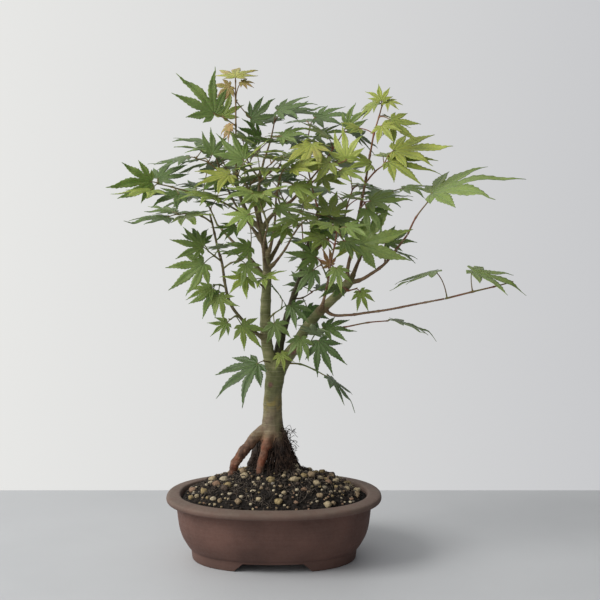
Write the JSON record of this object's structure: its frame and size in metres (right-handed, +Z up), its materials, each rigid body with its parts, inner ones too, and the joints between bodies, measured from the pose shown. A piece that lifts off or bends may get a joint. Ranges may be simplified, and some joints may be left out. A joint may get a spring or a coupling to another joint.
{
  "type": "bonsai tree in a pot",
  "caption": "Young Japanese maple bonsai with exposed roots, a forked trunk and lobed green leaves, planted in an oval footed stoneware pot.",
  "frame": {"origin": "on the table, at the middle of the whole plant's footprint", "axes": "+Z up, +X to the right across the pot's long side, +Y to the back"},
  "size_m": [0.4072, 0.2578, 0.5003],
  "materials": {
    "clay": "matte unglazed reddish-brown stoneware",
    "mesh_plastic": "matte black plastic mesh",
    "soil": "damp dark fibrous bonsai mix",
    "pumice": "matte tan pumice and akadama grains",
    "bark": "smooth olive and grey-brown young maple bark with fine rings",
    "root": "reddish-brown exposed root bark",
    "stalk": "thin reddish and olive stalks and twigs",
    "leaf": "thin satin leaves, dark to mid green with paler veins",
    "young_leaf": "thin young leaves, yellow-green with reddish margins"
  },
  "bodies": {
    "root": {"drain_mesh_left": "mesh_plastic", "drain_mesh_right": "mesh_plastic", "pot": "clay", "shoot_back_far_right": "leaf", "shoot_back_high": "leaf", "shoot_back_left": "leaf", "shoot_back_low": "leaf", "shoot_back_middle": "leaf", "shoot_back_right": "leaf", "shoot_centre_back": "leaf", "shoot_centre_front": "leaf", "shoot_crown": "leaf", "shoot_crown_back": "leaf", "shoot_crown_front": "leaf", "shoot_crown_left": "leaf", "shoot_crown_low": "leaf", "shoot_far_twig": "leaf", "shoot_fork_front": "leaf", "shoot_fork_right": "leaf", "shoot_front_left": "leaf", "shoot_front_right": "leaf", "shoot_inner": "leaf", "shoot_leader_front": "leaf", "shoot_left_drop": "leaf", "shoot_left_high": "leaf", "shoot_left_inner": "leaf", "shoot_left_inner_high": "leaf", "shoot_left_low": "leaf", "shoot_left_middle": "leaf", "shoot_left_narrow": "leaf", "shoot_left_tip": "leaf", "shoot_low_left": "leaf", "shoot_low_right": "leaf", "shoot_lower_middle": "leaf", "shoot_middle": "leaf", "shoot_middle_high": "leaf", "shoot_middle_left": "leaf", "shoot_middle_right": "leaf", "shoot_narrow_right": "leaf", "shoot_red_low": "leaf", "shoot_red_middle": "leaf", "shoot_red_tip": "leaf", "shoot_red_upper": "leaf", "shoot_right_branch": "leaf", "shoot_right_drop": "leaf", "shoot_right_inner": "leaf", "shoot_right_tip": "leaf", "shoot_top_back": "leaf", "shoot_top_crest": "leaf", "shoot_top_left": "leaf", "shoot_top_right": "leaf", "shoot_yellow": "leaf", "shoot_young": "leaf", "soil": "soil", "tree": "bark"}
  },
  "joints": []
}
